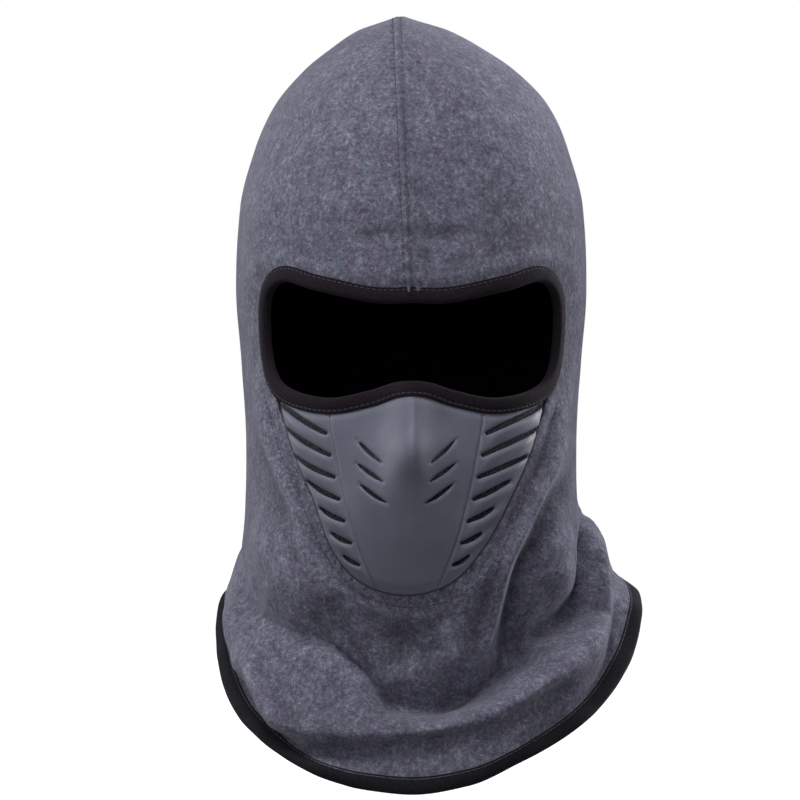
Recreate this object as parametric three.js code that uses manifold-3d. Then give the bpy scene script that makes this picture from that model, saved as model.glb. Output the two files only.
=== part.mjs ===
// A fleece balaclava with a moulded half mask over the nose and mouth.
//
// Millimetres, +Z up. The face looks along -Y and +X is the wearer's left. The origin is the middle
// of the head space, at the height of the eyes. Every layer of cloth is an offset of one smooth skin:
// the outer face of the fleece. The skin is a stack of level slices from the crown to the jaw, and
// below the jaw it flares to a hem that is low on the chest and high on the shoulders.

import * as THREE from "three";
import { ParametricGeometry } from "three/addons/geometries/ParametricGeometry.js";
import { mergeVertices } from "three/addons/utils/BufferGeometryUtils.js";
import Module from "manifold-3d";

const wasm = await Module();
wasm.setup();

// ---- Driving dimensions ------------------------------------------------------------------------

const CROWN_Z = 169; // the peak where the centre seam crosses the top of the head
const DOME_Z = 62; // the dome above this height, the nearly upright sides below it
const HEM_FRONT_Z = -234;
const HEM_SIDE_Z = -134;
const HEM_BACK_Z = -168;
const HEM_HALF_WIDTH = 111;
const HEM_LEAN_X = 9; // the collar is pulled towards the wearer's left
const HEM_CENTRE_Y = -6;
const HEM_HALF_DEPTH = 112;

// Half width of the hood at each height, [z, half width].
const HALF_WIDTH = [
  [CROWN_Z, 0], [166, 11], [161, 25], [151, 41.5], [140, 56], [120, 73], [99, 82.5], [68, 90],
  [26, 92], [-16, 88.5], [-57, 86.5], [-100, 86.5], [-140, 88], [-240, 92],
];
// The centre line at the front, without the nose, and at the back, [z, y].
const FRONT_Y = [
  [CROWN_Z, 8], [166, -22], [161, -38], [150, -57], [130, -77], [100, -94], [60, -106],
  [20, -110], [-20, -110], [-60, -113], [-100, -112], [-125, -108], [-140, -103], [-160, -99],
  [-240, -99],
];
const BACK_Y = [
  [CROWN_Z, 8], [166, 38], [161, 53], [150, 71], [130, 89], [100, 104], [60, 113], [20, 114],
  [-20, 106], [-60, 92], [-95, 83], [-140, 80], [-240, 84],
];
// Where each slice is widest, [z, y].
const WIDEST_Y = [[CROWN_Z, 8], [60, 5], [0, 2], [-60, -10], [-140, -12], [-240, -8]];
// How square the front of each slice is: 2 is an ellipse, and 1 is a roof ridge at the seam.
const SQUARENESS = [[CROWN_Z, 1.15], [140, 1.6], [100, 2.1], [20, 2.5], [-120, 2.5], [-240, 2.1]];
const ROUNDNESS_BEHIND = [[CROWN_Z, 1.15], [140, 1.6], [100, 2], [-240, 2.05]];
// The nose of the mask: how far it stands out and how wide it is, [z, mm].
const NOSE_HEIGHT = [[0, 0], [-10, 3], [-23, 9], [-45, 18], [-61, 24], [-80, 17], [-100, 10], [-120, 5], [-145, 0]];
const NOSE_WIDTH = [[0, 9], [-23, 11], [-61, 19], [-100, 26], [-145, 26]];

// Layers, as offsets from the skin: positive is outwards.
const FLEECE = [0, -2];
const LINING = [-3, -4];
const MASK = [0, -4];
const MASK_FLANGE = [-3.2, -4]; // the thin rim that the fleece is sewn down on
const MASK_BACKING = [-4.6, -5.4];
const BINDING_WALL = 1.1;
const BINDING_CLEARANCE = 0.9;
const THREAD_RADIUS = 0.45;
const THREAD_RIDE = 1.7; // how far a thread's middle lies above the cloth that it holds

const SEAM_GAP = 1.2;
const EYE_BINDING_WIDTH = 8;
const HEM_BINDING_WIDTH = 9;
const MASK_GAP = 0.4;
const MASK_FLANGE_WIDTH = 7;
const MASK_STITCH_AWAY = 4.5; // the row of stitches outside the mask's edge
const TOPSTITCH_X = -3.6; // the topstitch row beside the centre seam

// Right half of the eye opening's cut edge and of the mask's edge, from the top down, [x, z].
const EYE_EDGE = [
  [0, 18], [21, 18.3], [50, 24.6], [67, 29.3], [75.6, 21], [76.6, 0], [73, -20], [63, -29.5],
  [43, -33.6], [23, -30], [9.5, -25.6], [0, -24.6],
];
const MASK_EDGE = [
  [74, -12], [71.5, -32], [63.2, -59.8], [53, -83], [42.4, -106.6], [30.4, -123], [17, -131.7], [0, -135],
];
// The moulded groove between the middle of the mask and each wing, [x, z].
const GROOVE = [[40.5, -30], [39.8, -42], [35.7, -66], [28, -100], [16.4, -131]];
const GROOVE_SIZE = { width: 0.9, depth: 0.8 };
const WING_SLOTS = { count: 7, top: -50.5, pitch: 11.3, slope: 28, fromGroove: 3, fromEdge: 3.2, width: 2.3 };
const CENTRE_SLOTS = { count: 3, top: -65, pitch: 10.4, x: 14.6, step: -1.8, length: 15.6, slope: 45, slopeStep: -6, width: 1.8 };

const CARE_LABEL = { width: 30, height: 20, thickness: 0.6, z: -112 };

const COLUMNS = 40; // of both layers of cloth, so that their facets stay parallel
const ROWS = 22;
const DOME_SHARE = 0.36; // of the rows, how many are in the dome
const MASK_COLUMNS = 50;
const MASK_ROWS = 14;
const MASK_TOP = 4;
const MASK_BOTTOM = -150;

// ---- The skin ----------------------------------------------------------------------------------

// A smooth function through [z, value] keys listed from the top down, with no overshoot.
function profile(keys) {
  const points = [...keys].sort((p, q) => p[0] - q[0]);
  const rise = points.slice(1).map((p, i) => (p[1] - points[i][1]) / (p[0] - points[i][0]));
  const slope = points.map((p, i) => {
    const before = rise[i - 1] ?? rise[0];
    const after = rise[i] ?? rise[rise.length - 1];
    return before * after <= 0 ? 0 : (2 * before * after) / (before + after);
  });
  return (z) => {
    const at = THREE.MathUtils.clamp(z, points[0][0], points[points.length - 1][0]);
    const i = Math.max(0, points.findIndex((p) => p[0] >= at) - 1);
    const [z0, y0] = points[i];
    const [z1, y1] = points[i + 1];
    const h = z1 - z0;
    const t = (at - z0) / h;
    const s = 1 - t;
    return y0 * s * s * (1 + 2 * t) + y1 * t * t * (3 - 2 * t) + h * t * s * (slope[i] * s - slope[i + 1] * t);
  };
}

const halfWidth = profile(HALF_WIDTH);
const frontY = profile(FRONT_Y);
const backY = profile(BACK_Y);
const widestY = profile(WIDEST_Y);
const squareness = profile(SQUARENESS);
const roundnessBehind = profile(ROUNDNESS_BEHIND);
const noseHeight = profile(NOSE_HEIGHT);
const noseWidth = profile(NOSE_WIDTH);

const signedPower = (value, power) => Math.sign(value) * Math.abs(value) ** power;
const positivePart = (value) => (value + Math.sqrt(value * value + 0.01)) / 2; // max(value, 0), rounded off

// Heights of the hem, and of the place where the flare begins, round the neck. Angle 0 is the front.
const hemZ = (angle) =>
  HEM_SIDE_Z +
  (HEM_FRONT_Z - HEM_SIDE_Z) * positivePart(Math.cos(angle)) +
  (HEM_BACK_Z - HEM_SIDE_Z) * positivePart(-Math.cos(angle));
const flareZ = (angle) => -95 - 45 * positivePart(Math.cos(angle)) - 8 * positivePart(-Math.cos(angle));

// A point of the skin at an angle round the head and a height.
function skin(angle, z) {
  const side = Math.sin(angle);
  const ahead = Math.cos(angle);
  const power = ahead > 0 ? squareness(z) : roundnessBehind(z);
  const depth = ahead > 0 ? widestY(z) - frontY(z) : backY(z) - widestY(z);
  const point = new THREE.Vector3(halfWidth(z) * signedPower(side, 2 / power), widestY(z) - depth * ahead, z);
  const flare = THREE.MathUtils.smoothstep(flareZ(angle) - z, 0, flareZ(angle) - hemZ(angle));
  const hem = new THREE.Vector3(
    (HEM_HALF_WIDTH + HEM_LEAN_X * side) * side,
    HEM_CENTRE_Y - HEM_HALF_DEPTH * ahead,
    z,
  );
  point.lerp(hem, flare);
  if (ahead > 0) point.y -= noseHeight(z) * Math.exp(-((Math.abs(point.x) / noseWidth(z)) ** 1.7));
  return point;
}

// The skin moved out along its normal.
function layer(angle, z, offset) {
  const small = 0.02;
  const below = Math.min(z, CROWN_Z - 0.4);
  const around = skin(angle + small, below).sub(skin(angle - small, below));
  const upward = skin(angle, below + 0.3).sub(skin(angle, below - 0.3));
  const normal = z > CROWN_Z - 0.1 ? new THREE.Vector3(0, 0, 1) : around.cross(upward).normalize();
  return skin(angle, z).addScaledVector(normal, offset);
}

// The height of row t, from 0 at the crown to 1 at the hem.
function rowZ(angle, t) {
  if (t < DOME_SHARE) return DOME_Z + (CROWN_Z - DOME_Z) * Math.cos(((t / DOME_SHARE) * Math.PI) / 2);
  return THREE.MathUtils.lerp(DOME_Z, hemZ(angle), (t - DOME_SHARE) / (1 - DOME_SHARE));
}

// The angle at which the front of the skin has this x at this height.
function frontAngle(x, z) {
  let low = 0;
  let high = Math.PI / 2;
  for (let i = 0; i < 30; i++) {
    const middle = (low + high) / 2;
    if (skin(Math.sign(x) * middle, z).x * Math.sign(x) < Math.abs(x)) low = middle;
    else high = middle;
  }
  return Math.sign(x) * low;
}

// ---- Solids ------------------------------------------------------------------------------------

// A closed three.js geometry as a manifold solid with its faces pointing out.
function solid(geometry) {
  const bare = geometry.index ? geometry.toNonIndexed() : geometry.clone();
  const only = new THREE.BufferGeometry().setAttribute("position", bare.getAttribute("position"));
  const merged = mergeVertices(only, 1e-3);
  const corners = merged.index.array;
  const triangles = [];
  for (let i = 0; i < corners.length; i += 3) {
    const [a, b, c] = [corners[i], corners[i + 1], corners[i + 2]];
    if (a !== b && b !== c && a !== c) triangles.push(a, b, c);
  }
  const make = (list) =>
    new wasm.Manifold(
      new wasm.Mesh({
        numProp: 3,
        vertProperties: merged.attributes.position.array,
        triVerts: new Uint32Array(list),
      }),
    );
  const made = make(triangles);
  return made.volume() > 0 ? made : make(triangles.reverse());
}

// A surface that closes on itself: rings of points, one behind the other. The rings are loops.
// closed joins the last ring to the first; otherwise the first and last rings are single points.
function ringSolid(rings, closed) {
  const count = rings.length;
  const stacks = closed ? count : count - 1;
  const slices = rings[0].length;
  const place = (u, v, target) => target.copy(rings[Math.round(v * stacks) % count][Math.round(u * slices) % slices]);
  return solid(new ParametricGeometry(place, slices, stacks));
}

// The main body, without the slivers that a cut leaves beside the eye opening.
const largest = (made) => made.decompose().reduce((best, body) => (body.volume() > best.volume() ? body : best));

const angles = (count) => Array.from({ length: count }, (_, i) => (2 * Math.PI * i) / count);
const steps = (count) => Array.from({ length: count + 1 }, (_, i) => i / count);

// The whole hood as a cap between two offsets of the skin, open at the hem.
function hoodShell([outer, inner]) {
  const ring = (t, offset) => angles(COLUMNS).map((angle) => layer(angle, rowZ(angle, t), offset));
  const down = steps(ROWS);
  return ringSolid([...down.map((t) => ring(t, outer)), ...down.reverse().map((t) => ring(t, inner))], false);
}

// A belt of the skin between two offsets, for the pieces of the mask. Its columns crowd at the nose.
function belt([outer, inner]) {
  const crowded = angles(MASK_COLUMNS).map((angle) => angle - 0.6 * Math.sin(angle));
  const ring = (t, offset) =>
    crowded.map((angle) => layer(angle, THREE.MathUtils.lerp(MASK_TOP, MASK_BOTTOM, t), offset));
  const down = steps(MASK_ROWS);
  return ringSolid([...down.map((t) => ring(t, outer)), ...down.reverse().map((t) => ring(t, inner))], true);
}

// ---- Outlines, as flat curves in the XZ plane --------------------------------------------------

const flat = ([x, z]) => new THREE.Vector2(x, z);
const mirrored = (half) => [...half, ...[...half].reverse().map(([x, z]) => [-x, z])];
const withoutRepeats = (points) =>
  points.filter((p, i) => {
    const next = points[(i + 1) % points.length];
    return Math.hypot(p[0] - next[0], p[1] - next[1]) > 1e-6;
  });

// A closed outline through its right half's points and their mirror images, as count points.
function outline(half, count) {
  const points = withoutRepeats(mirrored(half)).map(([x, z]) => new THREE.Vector3(x, z, 0));
  const curve = new THREE.CatmullRomCurve3(points, true, "centripetal");
  return curve.getSpacedPoints(count).slice(0, count).map((p) => new THREE.Vector2(p.x, p.y));
}

// The outline moved outwards by a distance.
function grown(points, distance) {
  const turn = Math.sign(THREE.ShapeUtils.area(points));
  return points.map((p, i) => {
    const before = points[(i + points.length - 1) % points.length];
    const after = points[(i + 1) % points.length];
    const along = after.clone().sub(before).normalize();
    return p.clone().add(new THREE.Vector2(along.y, -along.x).multiplyScalar(distance * turn));
  });
}

// A flat outline pushed through the front half of the head.
function frontPrism(points) {
  const geometry = new THREE.ExtrudeGeometry(new THREE.Shape(points), { depth: 170, bevelEnabled: false });
  return solid(geometry.rotateX(Math.PI / 2));
}

// A slot with round ends between two points.
function slotPrism(from, to, width) {
  const turn = Math.atan2(to.y - from.y, to.x - from.x);
  const shape = new THREE.Shape();
  shape.absarc(from.x, from.y, width / 2, turn + Math.PI / 2, turn + 1.5 * Math.PI);
  shape.absarc(to.x, to.y, width / 2, turn - Math.PI / 2, turn + Math.PI / 2);
  return frontPrism(shape.getPoints(4));
}

// A band of constant width along an open flat curve.
function bandPrism(points, width) {
  const curve = new THREE.SplineCurve(points.map(flat));
  const centre = curve.getSpacedPoints(8);
  const across = steps(8).map((t) => {
    const along = curve.getTangentAt(t);
    return new THREE.Vector2(-along.y, along.x).multiplyScalar(width / 2);
  });
  const left = centre.map((p, i) => p.clone().add(across[i]));
  const right = centre.map((p, i) => p.clone().sub(across[i])).reverse();
  return frontPrism([...left, ...right]);
}

const box = (x0, x1, y0, y1, z0, z1) =>
  solid(
    new THREE.BoxGeometry(x1 - x0, y1 - y0, z1 - z0).translate((x0 + x1) / 2, (y0 + y1) / 2, (z0 + z1) / 2),
  );

const eyeEdge = outline(EYE_EDGE, 60);
const maskEdge = outline(MASK_EDGE, 48);

// A stop on a route over the cloth: its place on the skin, and the skin's normal there.
function stop(angle, z) {
  const place = layer(angle, z, 0);
  return { place, normal: layer(angle, z, 1).sub(place) };
}
const onFront = (p) => stop(frontAngle(p.x, p.y), p.y);

// The eye opening's cutter. It follows the normals, so that every layer is cut square to its face.
const eyeStops = eyeEdge.map(onFront);
const EYE_MIDDLE = new THREE.Vector3(0, -90, -3);
const loopAt = (offset) => eyeStops.map(({ place, normal }) => place.clone().addScaledVector(normal, offset));
const tipAt = (y) => eyeStops.map(() => EYE_MIDDLE.clone().setY(y));
const eyeHole = ringSolid([tipAt(-140), loopAt(6), loopAt(-10), tipAt(-60)], false);

// ---- Cloth -------------------------------------------------------------------------------------

// The centre seam opens the cloth from the eye opening over the crown and down the back to the hem.
const seamSlit = box(-SEAM_GAP / 2, SEAM_GAP / 2, -150, 150, 10, 180).add(
  box(-SEAM_GAP / 2, SEAM_GAP / 2, 20, 150, -250, 12),
);

function fleeceHood() {
  const maskHole = frontPrism(grown(maskEdge, MASK_GAP));
  return largest(hoodShell(FLEECE).subtract(eyeHole).subtract(maskHole).subtract(seamSlit));
}

function innerLining() {
  const maskHole = frontPrism(grown(maskEdge, MASK_FLANGE_WIDTH + 1));
  return hoodShell(LINING).subtract(eyeHole).subtract(maskHole).subtract(seamSlit);
}

function careLabel() {
  const { width, height, thickness, z } = CARE_LABEL;
  const back = skin(Math.PI - Math.asin(width / 2 / halfWidth(z)), z).y + LINING[1] - 2;
  return box(-width / 2, width / 2, back - thickness, back, z - height / 2, z + height / 2);
}

// ---- Mask --------------------------------------------------------------------------------------

// The x of an edge or groove at a height, on the right side.
const widthAt = (keys, z) => profile(keys.map(([x, height]) => [height, x]))(z);

function wingSlots() {
  const { count, top, pitch, slope, fromGroove, fromEdge, width } = WING_SLOTS;
  const rise = Math.tan(THREE.MathUtils.degToRad(slope));
  return steps(count - 1).flatMap((share) => {
    const z = top - pitch * share * (count - 1);
    const inner = widthAt(GROOVE, z) + fromGroove;
    let outer = inner;
    while (outer < widthAt(MASK_EDGE, z + (outer - inner) * rise) - fromEdge) outer += 0.25;
    const end = z + (outer - inner) * rise;
    return [1, -1].map((side) =>
      slotPrism(new THREE.Vector2(side * inner, z), new THREE.Vector2(side * outer, end), width),
    );
  });
}

function centreSlots() {
  const { count, top, pitch, x, step, length, slope, slopeStep, width } = CENTRE_SLOTS;
  return steps(count - 1).flatMap((share) => {
    const i = Math.round(share * (count - 1));
    const lean = THREE.MathUtils.degToRad(slope + slopeStep * i);
    const inner = new THREE.Vector2(x + step * i, top - pitch * i);
    const outer = inner.clone().add(new THREE.Vector2(Math.cos(lean), Math.sin(lean)).multiplyScalar(length));
    return [1, -1].map((side) =>
      slotPrism(new THREE.Vector2(side * inner.x, inner.y), new THREE.Vector2(side * outer.x, outer.y), width),
    );
  });
}

function grooves() {
  const top = belt([1, MASK[0] - GROOVE_SIZE.depth]);
  const lines = [1, -1].map((side) => bandPrism(GROOVE.map(([x, z]) => [side * x, z]), GROOVE_SIZE.width));
  return lines.map((line) => line.intersect(top));
}

function faceMask() {
  const body = belt(MASK).intersect(frontPrism(maskEdge));
  const rim = belt(MASK_FLANGE).intersect(frontPrism(grown(maskEdge, MASK_FLANGE_WIDTH)));
  const cuts = [eyeHole, ...wingSlots(), ...centreSlots(), ...grooves()];
  return largest(cuts.reduce((made, cut) => made.subtract(cut), body.add(rim)));
}

function maskBacking() {
  return belt(MASK_BACKING).intersect(frontPrism(grown(maskEdge, MASK_FLANGE_WIDTH - 2))).subtract(eyeHole);
}

// ---- Bindings and threads ----------------------------------------------------------------------

// The tape's section, a U folded over the cloth's edge: [past the edge, above the cloth].
function tapeSection(width, clothBottom) {
  const top = BINDING_CLEARANCE;
  const bottom = clothBottom - 2 * BINDING_CLEARANCE;
  const end = BINDING_CLEARANCE;
  const wall = BINDING_WALL;
  return [
    [-width, top], [-width, top + wall], [end, top + wall], [end + wall, top], [end + wall, bottom],
    [end, bottom - wall], [-width, bottom - wall], [-width, bottom], [end, bottom], [end, top],
  ];
}

// A section carried round the eye opening's edge, following the cloth.
function eyeSweep(section) {
  const rings = eyeStops.map(({ place, normal }, i) => {
    const before = eyeStops[(i + eyeStops.length - 1) % eyeStops.length].place;
    const after = eyeStops[(i + 1) % eyeStops.length].place;
    const past = after.clone().sub(before).cross(normal).normalize();
    if (past.dot(EYE_MIDDLE.clone().sub(place)) < 0) past.negate();
    return section.map(([across, above]) => {
      const reached = place.clone().addScaledVector(past, across);
      const there = onFront(new THREE.Vector2(reached.x, reached.z));
      return there.place.addScaledVector(there.normal, above);
    });
  });
  return ringSolid(rings, true);
}

// A section carried round the hem, on the same columns as the cloth.
const hemSweep = (section) =>
  ringSolid(
    angles(COLUMNS).map((angle) => section.map(([past, above]) => layer(angle, hemZ(angle) - past, above))),
    true,
  );

const eyeBinding = () => eyeSweep(tapeSection(EYE_BINDING_WIDTH, MASK_BACKING[1]));
const hemBinding = () => hemSweep(tapeSection(HEM_BINDING_WIDTH, LINING[1]));

// The section of a round of thread on a binding, near the tape's inner edge.
function threadSection(width) {
  const middle = [1.6 - width, BINDING_CLEARANCE + BINDING_WALL + THREAD_RADIUS + 0.3];
  return [[-1, 0], [0, -1], [1, 0], [0, 1]].map(([across, above]) => [
    middle[0] + across * THREAD_RADIUS,
    middle[1] + above * THREAD_RADIUS,
  ]);
}

// A thread with two ends that lies over the cloth.
function openThread(stops, ride) {
  const centre = stops.map(({ place, normal }) => place.clone().addScaledVector(normal, ride));
  const path = new THREE.CatmullRomCurve3(centre);
  const section = new THREE.Shape(new THREE.Path().absarc(0, 0, THREAD_RADIUS, 0, 2 * Math.PI).getPoints(4).slice(1));
  return solid(new THREE.ExtrudeGeometry(section, { steps: stops.length - 1, extrudePath: path }));
}

// Stops down the centre, from the forehead over the crown to the hem at the back, x beside the seam.
function centreRoute(x) {
  const forehead = EYE_EDGE[0][1] + EYE_BINDING_WIDTH + 3;
  const nape = HEM_BACK_Z + HEM_BINDING_WIDTH + 3;
  const top = CROWN_Z - 1;
  const rise = steps(16).map((t) => THREE.MathUtils.lerp(forehead, top, Math.sin((t * Math.PI) / 2)));
  const fall = steps(24).map((t) => THREE.MathUtils.lerp(top, nape, 1 - Math.cos((t * Math.PI) / 2)));
  const behind = (z) => Math.PI - frontAngle(x, z);
  return [...rise.map((z) => stop(frontAngle(x, z), z)), ...fall.map((z) => stop(behind(z), z))];
}

function maskEdgeThread() {
  const row = grown(maskEdge, MASK_STITCH_AWAY).filter((p) => p.y < EYE_EDGE[6][1] - EYE_BINDING_WIDTH - 6);
  return openThread(row.map(onFront), THREAD_RIDE);
}

// ---- Assembly ----------------------------------------------------------------------------------

const cloth = (color) => new THREE.MeshStandardMaterial({ color, roughness: 0.95, metalness: 0 });
const materials = {
  fleece: cloth(0x68687a),
  lining: cloth(0x121214),
  mask: new THREE.MeshStandardMaterial({ color: 0x5d606e, roughness: 0.55, metalness: 0 }),
  mesh: cloth(0x2a282e),
  binding: cloth(0x2a252b),
  hem: cloth(0x1e1d22),
  thread: cloth(0x4c4c58),
  label: cloth(0xd8d8d4),
};

// A solid as a named mesh.
function piece(name, made, material) {
  const { numProp, numVert, vertProperties, triVerts } = made.getMesh();
  const positions = new Float32Array(numVert * 3);
  for (let i = 0; i < numVert; i++) positions.set(vertProperties.subarray(i * numProp, i * numProp + 3), i * 3);
  const geometry = new THREE.BufferGeometry()
    .setAttribute("position", new THREE.BufferAttribute(positions, 3))
    .setIndex(new THREE.BufferAttribute(triVerts, 1));
  geometry.computeVertexNormals();
  const mesh = new THREE.Mesh(geometry, material);
  mesh.name = name;
  return mesh;
}

const balaclava = new THREE.Group();
balaclava.add(
  piece("fleece_hood", fleeceHood(), materials.fleece),
  piece("inner_lining", innerLining(), materials.lining),
  piece("face_mask", faceMask(), materials.mask),
  piece("mask_backing", maskBacking(), materials.mesh),
  piece("eye_binding", eyeBinding(), materials.binding),
  piece("hem_binding", hemBinding(), materials.hem),
  piece("eye_binding_thread", eyeSweep(threadSection(EYE_BINDING_WIDTH)), materials.thread),
  piece("hem_binding_thread", hemSweep(threadSection(HEM_BINDING_WIDTH)), materials.thread),
  piece("mask_edge_thread", maskEdgeThread(), materials.thread),
  piece("crown_seam_thread", openThread(centreRoute(0), -1), materials.thread),
  piece("crown_topstitch_thread", openThread(centreRoute(TOPSTITCH_X), THREAD_RIDE), materials.thread),
  piece("care_label", careLabel(), materials.label),
);

export default balaclava;
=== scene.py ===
"""A fleece balaclava with a moulded half mask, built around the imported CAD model.

Lengths are in millimetres until a mesh is made, and angles in degrees unless said. The face looks along
-Y and +X is the wearer's left. An angle round the head is 0 at the front and grows towards +X.
"""

import math

import bpy
import numpy as np
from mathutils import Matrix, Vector
from mathutils.bvhtree import BVHTree


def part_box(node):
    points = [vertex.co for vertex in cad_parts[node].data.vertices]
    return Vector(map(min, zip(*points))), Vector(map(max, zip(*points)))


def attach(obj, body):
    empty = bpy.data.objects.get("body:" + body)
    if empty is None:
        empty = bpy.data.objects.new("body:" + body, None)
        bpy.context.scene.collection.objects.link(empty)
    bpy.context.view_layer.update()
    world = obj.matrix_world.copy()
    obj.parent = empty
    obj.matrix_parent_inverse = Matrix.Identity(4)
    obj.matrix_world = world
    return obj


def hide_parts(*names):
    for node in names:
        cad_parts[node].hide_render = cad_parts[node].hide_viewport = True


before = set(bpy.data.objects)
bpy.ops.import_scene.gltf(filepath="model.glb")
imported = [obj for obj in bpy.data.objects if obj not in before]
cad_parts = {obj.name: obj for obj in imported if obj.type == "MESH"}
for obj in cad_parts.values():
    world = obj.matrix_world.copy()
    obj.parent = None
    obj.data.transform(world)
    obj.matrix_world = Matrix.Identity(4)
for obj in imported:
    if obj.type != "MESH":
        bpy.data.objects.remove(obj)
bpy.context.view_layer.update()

MM = 0.001  # metres


def node_box(node):
    """A node's lowest and highest corners, in millimetres."""
    low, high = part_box(node)
    return np.array(low) / MM, np.array(high) / MM


# ---- Sizes from the frame ----

HOOD_LOW, HOOD_HIGH = node_box("fleece_hood")
MASK_LOW, MASK_HIGH = node_box("face_mask")
CROWN_Z = HOOD_HIGH[2] + 0.2  # the skin closes just above the hood's highest point
HEM_FRONT_Z = HOOD_LOW[2]

# ---- Numbers of the design, as in the CAD ----

DOME_Z = 62
HALF_WIDTH = [
    (CROWN_Z, 0), (166, 9), (161, 24.5), (151, 41.5), (140, 56), (120, 73), (99, 82.5), (68, 90),
    (26, 92), (-16, 88.5), (-57, 86.5), (-100, 86.5), (-140, 88), (-240, 92),
]
FRONT_Y = [
    (CROWN_Z, 8), (166, -22), (161, -38), (150, -57), (130, -77), (100, -94), (60, -106), (20, -110),
    (-20, -110), (-60, -113), (-100, -112), (-125, -108), (-140, -103), (-160, -99), (-240, -99),
]
BACK_Y = [
    (CROWN_Z, 8), (166, 38), (161, 53), (150, 71), (130, 89), (100, 104), (60, 113), (20, 114),
    (-20, 106), (-60, 92), (-95, 83), (-140, 80), (-240, 84),
]
WIDEST_Y = [(CROWN_Z, 8), (60, 5), (0, 2), (-60, -10), (-140, -12), (-240, -8)]
SQUARENESS = [(CROWN_Z, 1.15), (140, 1.6), (100, 2.1), (20, 2.5), (-120, 2.5), (-240, 2.1)]
ROUNDNESS_BEHIND = [(CROWN_Z, 1.15), (140, 1.6), (100, 2), (-240, 2.05)]
NOSE_HEIGHT = [
    (0, 0), (-10, 3), (-23, 9), (-45, 18), (-61, 24), (-80, 17), (-100, 10), (-120, 5), (-145, 0),
]
NOSE_WIDTH = [(0, 9), (-23, 11), (-61, 19), (-100, 26), (-145, 26)]
CROWN_LEAN = [(CROWN_Z, -6), (161, -4.5), (151, -2.4), (138, -0.9), (112, 0)]
SEAM_X = [(CROWN_Z, -6), (110, -3.6), (24, 0.6)]

EYE_EDGE = [
    (0, 18), (21, 18.3), (50, 24.6), (67, 29.3), (75.6, 21), (76.6, 0), (73, -20), (63, -29.5),
    (43, -33.6), (23, -30), (9.5, -25.6), (0, -24.6),
]
MASK_EDGE = [
    (0, 4), (48, 3), (66, -1), (71.5, -7), (73, -17), (71, -32), (63.2, -59.8), (53, -83),
    (42.4, -106.6), (30.4, -123), (17, -131.7), (0, -135),
]
GROOVE = [(40.5, -30), (39.8, -42), (35.7, -66), (28, -100), (16.4, -131)]
FLEECE_THICKNESS = 2
LINING_DEPTH = 2.9  # from the fleece's outer face to the lining's
LINING_THICKNESS = 1
LINING_GAP = 7  # how far the lining stays back from the mask
MASK_THICKNESS = 1.2
BACKING_DEPTH = 4.6  # from the skin to the mesh behind the mask
BACKING_THICKNESS = 0.6

# The collar: heights and distances out from the neck, at angles round it. The cloth goes in to a valley,
# out over the crest of a roll, in again under it, and out to the hem. FOLD is how much of that there is.
BIB_OUT = [
    (-90, 0), (-60, 1), (-30, 3), (0, 3), (14, 4), (20, 2), (28, -4), (42, -5), (56, -1), (68, 3), (80, 2),
    (95, 1), (180, 0), (240, 0),
]
VALLEY_Z = [
    (-90, -124), (-72, -138), (-50, -149), (-26, -158), (-14, -172), (-6, -189), (5, -193), (13, -190),
    (24, -181), (38, -168), (50, -156), (65, -147), (76, -137), (82, -117), (90, -97), (100, -92),
    (115, -92), (135, -98), (180, -120), (225, -112),
]
VALLEY_OUT = [
    (-90, 1), (-70, 0), (-45, -2), (-25, -4), (-8, -8), (5, -10), (15, -11), (30, -14), (50, -12), (65, -8),
    (78, -3), (90, 2), (105, 7), (130, 8), (180, 2), (225, 2),
]
CREST_Z = [
    (-90, -142), (-75, -156), (-60, -171), (-45, -185), (-31, -197), (-15, -200), (0, -201), (16, -194),
    (30, -182), (45, -168), (60, -155), (70, -146), (76, -142), (82, -128), (90, -110), (105, -103),
    (135, -110), (180, -135), (225, -125),
]
CREST_OUT = [
    (-90, 9), (-60, 12), (-40, 15), (0, 15), (20, 17), (45, 20), (65, 21), (80, 17), (90, 14), (105, 15),
    (135, 16), (180, 10), (240, 8),
]
UNDER_Z = [
    (-90, -146), (-60, -184), (-45, -200), (-31, -213), (-15, -213), (5, -207), (20, -201), (38, -186),
    (55, -176), (72, -159), (90, -125), (110, -116), (135, -122), (180, -150), (225, -134),
]
TUCK = [(-70, 0), (-50, 3), (-36, 8), (-20, 8), (0, 6), (20, 4), (45, 3), (70, 0), (180, 0), (240, 0)]
HEM_Z = [
    (-90, -153), (-75, -174), (-60, -193), (-45, -209), (-30, -223), (-15, -231.5), (0, HEM_FRONT_Z),
    (15, -230), (30, -219), (45, -206), (60, -189), (75, -166), (90, -141), (105, -131), (130, -134),
    (155, -152), (180, -166), (205, -152), (230, -137), (255, -134),
]
HEM_OUT = [
    (-90, 13), (-60, 13), (-30, 12), (0, 13), (30, 14), (60, 22), (90, 32), (110, 30), (140, 21), (180, 16),
    (240, 12),
]
FLARE = [
    (-95, 7), (-60, 6.5), (-40, 3), (-20, 0), (20, 0), (45, 4), (70, 8), (95, 8), (120, 4), (180, 3),
    (240, 5),
]
FOLD = [
    (-110, 0.35), (-85, 0.85), (-70, 1), (95, 1), (115, 0.7), (140, 0.35), (180, 0.25), (220, 0.25),
]
COLLAR_KEYS = (
    BIB_OUT, VALLEY_Z, VALLEY_OUT, CREST_Z, CREST_OUT, UNDER_Z, TUCK, HEM_Z, HEM_OUT, FLARE, FOLD
)

# ---- Small mathematics ----


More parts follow.
